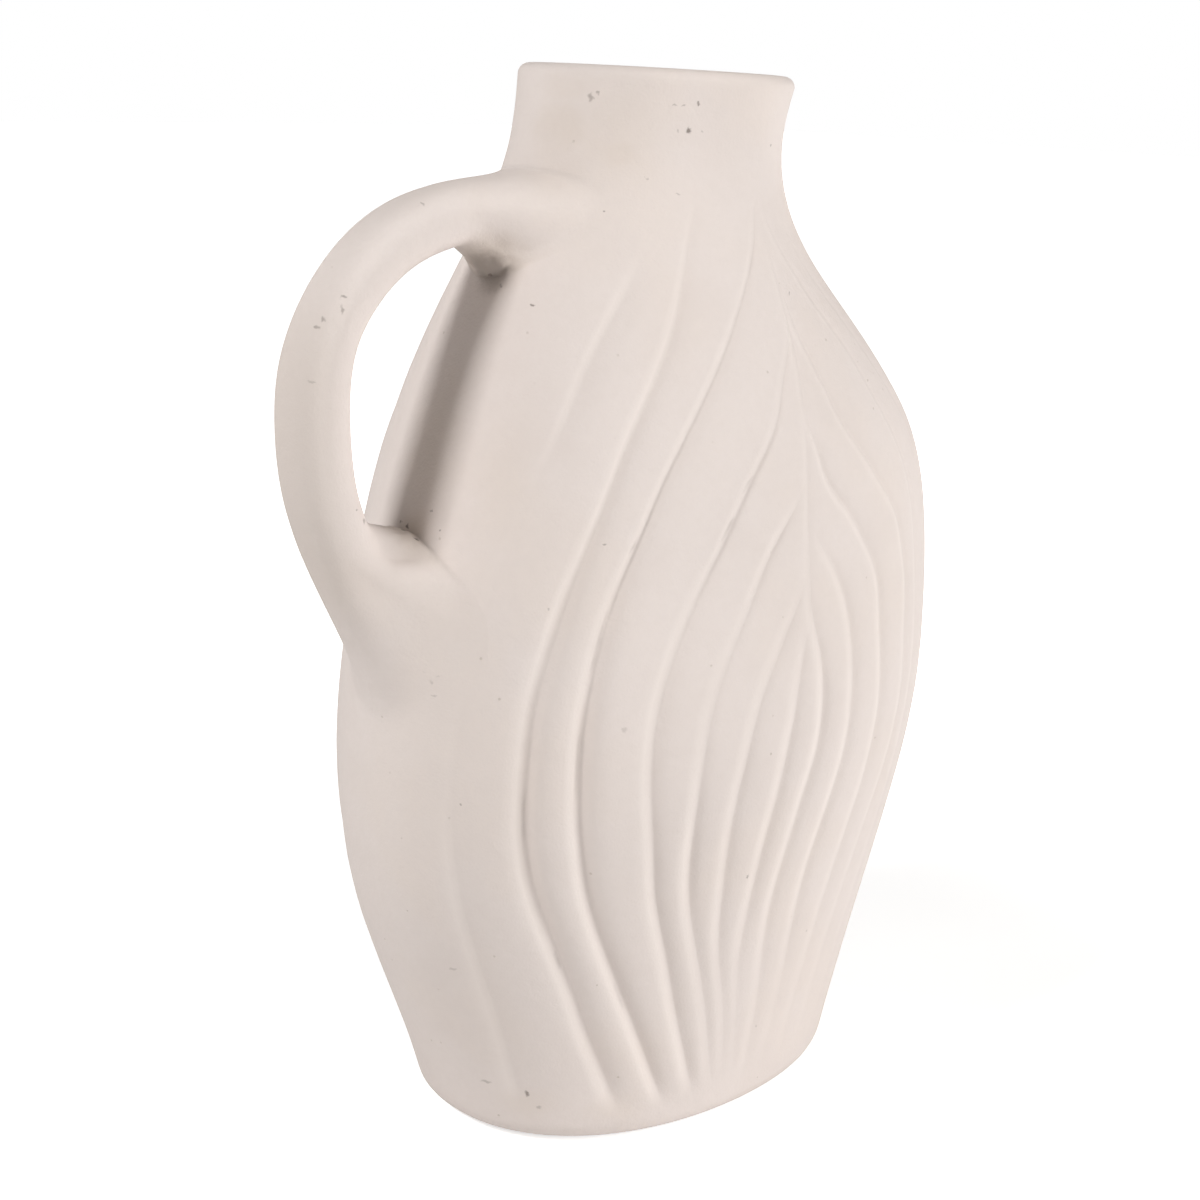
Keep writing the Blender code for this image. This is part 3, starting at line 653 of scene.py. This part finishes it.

# Clay: pale fired bisque with soft stains, fine grain, pinholes and small marks, and painted shade and
# highlight
clayLook = {
    "base": (0.736, 0.663, 0.625),
    "warm": (0.73, 0.645, 0.588),
    "cool": (0.71, 0.635, 0.595),
    # colour of the painted shade along the creases
    "paintedShade": (0.60, 0.535, 0.495),
    # colour of the painted highlight on the ridges
    "ridgeHighlight": (0.86, 0.785, 0.735),
    # dark colour of the pinholes, also used for the painted shade on the strap's outer face
    "grip": (0.60, 0.53, 0.48),
    # colour of the marks and cracks, also used for the painted shade in the upper root's crotch
    "markAndShade": (0.20, 0.165, 0.145),
    # colour of the slip residue and the stains, also used for painted shade and shadow
    "stainAndShade": (0.63, 0.54, 0.46),
    "roughness": 0.9,
    # clouds over the base: colour, noise scale and detail, the noise over which they rise, their most
    "clouds": (
        ("warm", 22, 3.0, (0.46, 0.66), 0.45),
        ("cool", 55, 4.0, (0.5, 0.7), 0.5),
        ("cool", 420, 3.0, (0.35, 0.75), 0.35),
    ),
    # what is painted on the mesh, its most and its colour; the strap and crease entries are painted shade,
    # the crest entry a painted highlight
    "paints": (
        ("gripStain", 0.6, "grip"),
        ("creaseShade", 0.3, "paintedShade"),
        ("crestHighlight", 0.5, "ridgeHighlight"),
        ("slipRough", 0.35, "stainAndShade"),
        ("crackLine", 0.28, "markAndShade"),
    ),
    "grain": (260, 3.0),  # noise scale and detail
    "fineGrain": (1300, 2.0),
    "fineShare": 0.45,
    "pinholes": (150, (0.035, 0.075)),  # cells for each metre, and the hole's edge as a share of one
    "pinholePatches": (70, (0.52, 0.62)),  # noise scale, and the noise over which they appear
    "bump": (0.32, 0.0006),  # strength and depth in m
    # share of a spot that is fully dark, then noise scale and reach in m of its ragged edge
    "spotEdge": (0.35, 650, 0.002),
    "softSpotEdge": (0.15, 120, 0.006),
    # centre and reach in mm, and how dark: (x, y, z), (x, y, z), share
    "marksAndShade": (
        # painted shade: a dark patch in the crotch under the upper root, where the strap meets the neck
        ((-63.0, -3.5, 247.0), (8.5, 8.5, 8.0), 0.55),
        ((-61.5, -3.0, 246.0), (1.1, 1.1, 1.1), 0.85),
        ((-60.8, -7.0, 243.0), (0.9, 0.9, 1.3), 0.8),
        ((-62.6, 0.5, 243.0), (0.8, 0.8, 0.8), 0.8),
        ((-85.1, 0.5, 179.9), (1.0, 1.0, 0.9), 0.85),
        ((-87.3, -6.4, 178.3), (1.0, 1.0, 1.0), 0.9),
        ((-87.3, -0.3, 179.3), (1.8, 1.8, 0.8), 0.5),
        ((-84.8, 3.9, 180.5), (0.8, 0.8, 0.8), 0.6),
        ((-83.1, -7.2, 185.2), (0.6, 0.6, 0.5), 0.5),
        ((-83.6, -11.6, 181.1), (0.6, 0.6, 0.6), 0.6),
        ((-105.7, -8.5, 185.5), (0.8, 1.2, 1.0), 0.5),
        ((-108.4, -9.1, 188.8), (0.5, 1.0, 0.6), 0.5),
        ((-92.0, -16.6, 144.9), (1.2, 1.2, 0.5), 0.2),
        ((-90.9, -18.4, 142.6), (0.9, 0.9, 1.2), 0.25),
        ((-89.9, -20.1, 144.2), (0.9, 0.9, 0.6), 0.2),
        ((-90.6, -19.1, 139.1), (1.2, 1.2, 0.5), 0.25),
        ((-86.4, -6.2, 264.9), (0.5, 1.6, 0.9), 0.45),
        ((-40.8, -24.3, 263.3), (0.6, 0.6, 0.6), 0.6),
        ((-59.3, -17.8, 239.2), (0.7, 0.7, 0.6), 0.75),
        ((-38.2, -14.6, 292.0), (1.1, 1.1, 1.3), 0.5),
        ((-37.3, -16.0, 293.3), (0.8, 0.8, 0.6), 0.45),
        ((-22.8, -30.4, 290.7), (0.6, 0.6, 0.35), 0.4),
        ((-20.6, -31.5, 290.7), (0.6, 0.6, 0.35), 0.4),
        ((-16.8, -33.3, 291.4), (0.7, 0.7, 0.6), 0.7),
        ((-19.0, -32.0, 284.5), (0.9, 0.9, 1.4), 0.85),
        ((-21.7, -30.9, 284.2), (0.5, 0.5, 0.5), 0.3),
        ((-15.3, -33.4, 284.4), (0.5, 0.5, 0.5), 0.3),
        ((10.0, -34.5, 280.9), (0.5, 0.6, 0.5), 0.45),
        ((-22.4, -32.6, 268.2), (1.0, 1.0, 0.4), 0.3),
        ((-29.6, -28.1, 272.0), (0.8, 0.8, 0.5), 0.3),
        ((9.0, -45.2, 241.6), (0.5, 0.6, 0.5), 0.5),
        ((-111.7, -7.5, 242.9), (1.0, 2.0, 0.45), 0.55),
        ((-112.6, -8.2, 239.7), (0.5, 2.0, 1.7), 0.5),
        ((-116.6, -5.9, 237.2), (0.6, 1.6, 0.8), 0.5),
        ((-118.0, -5.1, 235.4), (0.6, 1.6, 0.8), 0.5),
        ((-120.8, -7.2, 222.4), (0.8, 1.6, 0.5), 0.3),
        ((-83.9, -20.5, 59.7), (1.7, 1.7, 0.7), 0.25),
        ((-69.4, -18.1, 20.3), (2.2, 2.2, 0.7), 0.35),
        ((-62.0, -27.5, 18.0), (1.0, 1.0, 1.5), 0.75),
        ((-59.1, -29.4, 13.6), (1.1, 1.1, 0.8), 0.35),
        ((-88.2, -28.2, 110.5), (0.6, 0.6, 0.6), 0.5),
        ((-56.8, -56.4, 132.6), (1.1, 1.1, 0.9), 0.22),
        ((-12.9, -62.2, 83.0), (0.4, 0.8, 1.3), 0.6),
        ((4.4, -52.7, 28.9), (0.6, 0.6, 0.6), 0.45),
        ((-70.9, -41.3, 164.0), (0.6, 0.6, 0.6), 0.6),
        ((-58.2, -48.1, 180.8), (0.6, 0.6, 0.6), 0.5),
        ((20.2, -56.1, 55.6), (0.5, 0.6, 0.5), 0.35),
    ),
    # wide soft stains, and patches of painted shade and shadow, in the same form
    "stainsAndShade": (
        # painted shade in the crotches of the upper and the lower root
        ((-66.0, -6.0, 250.0), (13.0, 13.0, 12.0), 0.4),
        ((-86.5, -3.0, 180.0), (8.0, 8.0, 8.0), 0.45),
        ((-42.5, -8.0, 284.0), (14.0, 14.0, 10.0), 0.34),
        ((-34.5, -23.0, 278.5), (10.0, 10.0, 7.0), 0.32),
        ((-48.0, -16.0, 273.0), (14.0, 14.0, 9.0), 0.2),
        ((-40.7, -8.0, 294.0), (14.0, 14.0, 7.0), 0.22),
        ((-34.0, -22.0, 283.0), (24.0, 18.0, 20.0), 0.2),
        ((-62.0, -30.0, 252.0), (12.0, 16.0, 22.0), 0.16),
        ((-76.0, -28.0, 205.0), (14.0, 16.0, 34.0), 0.16),
        # painted shadow: darkens and warms the handle's cast shadow on the wall
        ((-79.0, 0.0, 212.0), (12.0, 13.0, 44.0), 0.3),
        ((-62.0, -28.0, 14.0), (12.0, 12.0, 8.0), 0.22),
        ((-40.0, -40.0, 12.0), (14.0, 12.0, 7.0), 0.2),
    ),
}


def addNode(tree, kind, operation=None, **values):
    node = tree.nodes.new(kind)
    if operation:
        node.operation = operation
    for name, value in values.items():
        node.inputs[name].default_value = value
    return node


def fillInputs(tree, node, values):
    # each value is a number, three numbers or the socket of another node
    for socket, value in zip(node.inputs, values):
        if isinstance(value, bpy.types.NodeSocket):
            tree.links.new(value, socket)
        else:
            socket.default_value = value


def combine(tree, operation, *values):
    node = addNode(tree, "ShaderNodeMath", operation)
    fillInputs(tree, node, values)
    return node.outputs["Value"]


def combinePlaces(tree, operation, *values):
    node = addNode(tree, "ShaderNodeVectorMath", operation)
    fillInputs(tree, node, values)
    return node.outputs["Value" if operation == "LENGTH" else "Vector"]


def noiseAt(tree, place, scale, detail=2.0, output=0):
    noiseNode = addNode(tree, "ShaderNodeTexNoise", Scale=scale, Detail=detail)
    tree.links.new(place, noiseNode.inputs["Vector"])
    return noiseNode.outputs[output]


def remap(tree, value, fromSpan, toSpan):
    node = addNode(tree, "ShaderNodeMapRange")
    node.interpolation_type = "SMOOTHSTEP"
    for label, number in zip(("From Min", "From Max", "To Min", "To Max"), (*fromSpan, *toSpan)):
        node.inputs[label].default_value = number
    tree.links.new(value, node.inputs["Value"])
    return node.outputs["Result"]


def tint(tree, colour, factor, target):
    mixNode = tree.nodes.new("ShaderNodeMix")
    mixNode.data_type = "RGBA"
    mixNode.inputs["B"].default_value = (*target, 1)
    tree.links.new(factor, mixNode.inputs["Factor"])
    if isinstance(colour, tuple):
        mixNode.inputs["A"].default_value = (*colour, 1)
    else:
        tree.links.new(colour, mixNode.inputs["A"])
    return mixNode.outputs["Result"]


def newGroup(name, outputs):
    group = bpy.data.node_groups.new(name, "ShaderNodeTree")
    group.interface.new_socket("Place", in_out="INPUT", socket_type="NodeSocketVector")
    for label, kind in outputs:
        group.interface.new_socket(label, in_out="OUTPUT", socket_type=kind)
    place = group.nodes.new("NodeGroupInput").outputs["Place"]
    return group, place, group.nodes.new("NodeGroupOutput").inputs


def mottleGroup():
    # warm and cool clouds in the clay, a few cm across, with finer ones inside them
    group, place, result = newGroup("clayMottle", (("Color", "NodeSocketColor"),))
    colour = clayLook["base"]
    for target, scale, detail, span, most in clayLook["clouds"]:
        cloud = remap(group, noiseAt(group, place, scale, detail), span, (0, most))
        colour = tint(group, colour, cloud, clayLook[target])
    group.links.new(colour, result["Color"])
    return group


def grainGroup():
    # sandy grain and sparse pinholes: the normal for the shader and a mask of the pinholes
    sockets = (("Normal", "NodeSocketVector"), ("Pinholes", "NodeSocketFloat"))
    group, place, result = newGroup("clayGrain", sockets)
    scale, edge = clayLook["pinholes"]
    cells = addNode(group, "ShaderNodeTexVoronoi", Scale=scale)
    group.links.new(place, cells.inputs["Vector"])
    holes = remap(group, cells.outputs["Distance"], edge, (1, 0))
    scale, span = clayLook["pinholePatches"]
    patches = remap(group, noiseAt(group, place, scale), span, (0, 1))
    pinholes = combine(group, "MULTIPLY", holes, patches)
    fine = noiseAt(group, place, *clayLook["fineGrain"])
    fine = combine(group, "MULTIPLY", fine, clayLook["fineShare"])
    height = combine(group, "ADD", noiseAt(group, place, *clayLook["grain"]), fine)
    strength, depth = clayLook["bump"]
    bump = addNode(group, "ShaderNodeBump", Strength=strength, Distance=depth)
    group.links.new(combine(group, "SUBTRACT", height, pinholes), bump.inputs["Height"])
    group.links.new(bump.outputs["Normal"], result["Normal"])
    group.links.new(pinholes, result["Pinholes"])
    return group


def spotsGroup(name, spots, full, scale, ragged):
    # mask of spots at fixed places of the pot, with ragged edges
    group, place, result = newGroup(name, (("Mask", "NodeSocketFloat"),))
    uneven = noiseAt(group, place, scale, output="Color")
    shifted = combinePlaces(group, "MULTIPLY_ADD", uneven, (ragged,) * 3, place)
    mask = None
    for centre, reach, share in spots:
        away = combinePlaces(group, "SUBTRACT", shifted, [c * mm + ragged / 2 for c in centre])
        away = combinePlaces(group, "DIVIDE", away, [r * mm for r in reach])
        spot = remap(group, combinePlaces(group, "LENGTH", away), (full, 1), (share, 0))
        mask = combine(group, "MAXIMUM", mask, spot) if mask else spot
    group.links.new(mask, result["Mask"])
    return group


def clayMaterial(name, groups, painted):
    # painted clay also has its marks, stains and painted shade at fixed places, and what is painted on the
    # mesh
    material = bpy.data.materials.new(name)
    material.use_nodes = True
    tree = material.node_tree
    shader = tree.nodes["Principled BSDF"]
    place = tree.nodes.new("ShaderNodeTexCoord").outputs["Object"]
    placed = {}
    for label, group in groups.items():
        node = tree.nodes.new("ShaderNodeGroup")
        node.node_tree = group
        tree.links.new(place, node.inputs["Place"])
        placed[label] = node.outputs
    colour = placed["mottle"]["Color"]
    if painted:
        for label, most, target in clayLook["paints"]:
            paint = tree.nodes.new("ShaderNodeAttribute")
            paint.attribute_name = label
            factor = combine(tree, "MULTIPLY", paint.outputs["Fac"], most)
            colour = tint(tree, colour, factor, clayLook[target])
        for label, target in (("stainsAndShade", "stainAndShade"), ("marksAndShade", "markAndShade")):
            colour = tint(tree, colour, placed[label]["Mask"], clayLook[target])
    colour = tint(tree, colour, placed["grain"]["Pinholes"], clayLook["grip"])
    tree.links.new(colour, shader.inputs["Base Color"])
    tree.links.new(placed["grain"]["Normal"], shader.inputs["Normal"])
    shader.inputs["Roughness"].default_value = clayLook["roughness"]
    return material


plain = {"mottle": mottleGroup(), "grain": grainGroup()}
spots = {
    "marksAndShade": spotsGroup("clayMarksAndShade", clayLook["marksAndShade"], *clayLook["spotEdge"]),
    "stainsAndShade": spotsGroup("clayStainsAndShade", clayLook["stainsAndShade"], *clayLook["softSpotEdge"]),
}
clay = clayMaterial("bisqueClay", {**plain, **spots}, True)
innerClay = clayMaterial("innerClay", plain, False)
print("clay mixed")
for piece in (vaseBody, strapHandle):
    piece.data.materials.append(clay)
for node in frame["nodes"].values():
    node.data.materials.clear()
    node.data.materials.append(innerClay)

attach(vaseBody, "root")
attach(strapHandle, "root")
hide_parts("front_wall", "back_wall", "neck_collar", "rim_coil", "base_slab")
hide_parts("handle", "handle_upper_lute", "handle_lower_lute")
print("both pieces ride on the root body")

# Floor, light and camera
studio = {
    "floorSize": 14.0,
    "paper": (0.88, 0.88, 0.88),
    "paperRoughness": 0.9,
    "whiteFrom": (0.17, 0.42),  # metres from the pot's middle, between which the paper turns white
    "floorGlow": (0.62, 1.05),  # its glow to the camera before and after that, where 1 is white
    "worldColour": (1, 0.9, 0.8),
    "worldStrength": 0.098,
    "camera": {"azimuth": -43.407, "distance": 0.600, "height": 0.3018, "pitch": 14.489, "yaw": 1.098,
               "roll": 1.961, "lens": 62.76, "sensor": 36},
    "aimHeight": 0.16,  # of the lights
    # azimuth (0 is in front, -90 is the handle's side), elevation, distance in m, size in m, watts
    "lights": {
        "keyLeft": (-90, 40, 1.6, 0.36, 14.3),
        "keyLow": (-93, 8, 1.6, 0.5, 1.8),
        "fillFront": (27, 14, 2.0, 1.4, 34.0),
        "rimBack": (-140, 40, 1.6, 0.5, 1.6),
    },
}


def seenDirectly(tree):
    # 1 for the camera and for what mirrors or glass would show, 0 for light that falls on the pot
    lightPath = tree.nodes.new("ShaderNodeLightPath")
    seen = lightPath.outputs["Is Camera Ray"]
    for other in ("Is Glossy Ray", "Is Transmission Ray"):
        seen = combine(tree, "MAXIMUM", seen, lightPath.outputs[other])
    return seen


def floorPaper():
    # pale paper that turns white away from the pot
    paper = bpy.data.materials.new("floorPaper")
    paper.use_nodes = True
    tree = paper.node_tree
    shader = tree.nodes["Principled BSDF"]
    shader.inputs["Base Color"].default_value = (*studio["paper"], 1)
    shader.inputs["Roughness"].default_value = studio["paperRoughness"]
    shader.inputs["Emission Color"].default_value = (1, 1, 1, 1)
    place = tree.nodes.new("ShaderNodeTexCoord").outputs["Object"]
    away = combinePlaces(tree, "LENGTH", place)
    fade = remap(tree, away, studio["whiteFrom"], studio["floorGlow"])
    glow = combine(tree, "MULTIPLY", seenDirectly(tree), fade)
    tree.links.new(glow, shader.inputs["Emission Strength"])
    return paper


def studioWorld():
    # white where it is seen, and a faint warm light on the pot
    world = bpy.data.worlds.new("studioWorld")
    world.use_nodes = True
    tree = world.node_tree
    tree.nodes.clear()
    output = tree.nodes.new("ShaderNodeOutputWorld")
    mixed = tree.nodes.new("ShaderNodeMixShader")
    white = addNode(tree, "ShaderNodeBackground", Color=(1, 1, 1, 1), Strength=1.0)
    warm = addNode(tree, "ShaderNodeBackground", Color=(*studio["worldColour"], 1))
    warm.inputs["Strength"].default_value = studio["worldStrength"]
    tree.links.new(seenDirectly(tree), mixed.inputs["Fac"])
    tree.links.new(warm.outputs["Background"], mixed.inputs[1])
    tree.links.new(white.outputs["Background"], mixed.inputs[2])
    tree.links.new(mixed.outputs["Shader"], output.inputs["Surface"])
    return world


def addLight(name, azimuth, elevation, distance, size, power):
    # square soft light, aimed at the belly
    side, rise = radians(azimuth), radians(elevation)
    target = Vector((0, 0, studio["aimHeight"]))
    place = target + distance * Vector((sin(side) * cos(rise), -cos(side) * cos(rise), sin(rise)))
    bpy.ops.object.light_add(type="AREA", location=place)
    lamp = bpy.context.object
    lamp.name = name
    lamp.data.shape = "SQUARE"
    lamp.data.size = size
    lamp.data.energy = power
    lamp.rotation_euler = (target - place).to_track_quat("-Z", "Y").to_euler()


def photoCamera():
    # stands where the photograph was taken from
    shot = studio["camera"]
    side, pitch, roll = radians(shot["azimuth"]), radians(shot["pitch"]), radians(shot["roll"])
    facing = side + radians(shot["yaw"])
    forward = Vector((-sin(facing) * cos(pitch), cos(facing) * cos(pitch), -sin(pitch)))
    flatRight = Vector((cos(facing), sin(facing), 0))
    flatUp = flatRight.cross(forward)
    right = cos(roll) * flatRight + sin(roll) * flatUp
    up = -sin(roll) * flatRight + cos(roll) * flatUp
    cameraData = bpy.data.cameras.new("photoCamera")
    cameraData.lens = shot["lens"]
    cameraData.sensor_width = shot["sensor"]
    camera = bpy.data.objects.new("photoCamera", cameraData)
    bpy.context.scene.collection.objects.link(camera)
    place = Vector((sin(side) * shot["distance"], -cos(side) * shot["distance"], shot["height"]))
    turn = Matrix((right, up, -forward)).transposed().to_4x4()
    camera.matrix_world = Matrix.Translation(place) @ turn
    return camera


deselectAll()
bpy.ops.mesh.primitive_plane_add(size=studio["floorSize"], location=(0, 0, 0))
floor = bpy.context.object
floor.name = "studioFloor"
floor.data.materials.append(floorPaper())
bpy.context.scene.world = studioWorld()
for name, values in studio["lights"].items():
    addLight(name, *values)
bpy.context.scene.camera = photoCamera()
print("floor, lights and camera placed")

bpy.context.scene.view_settings.view_transform = "Standard"
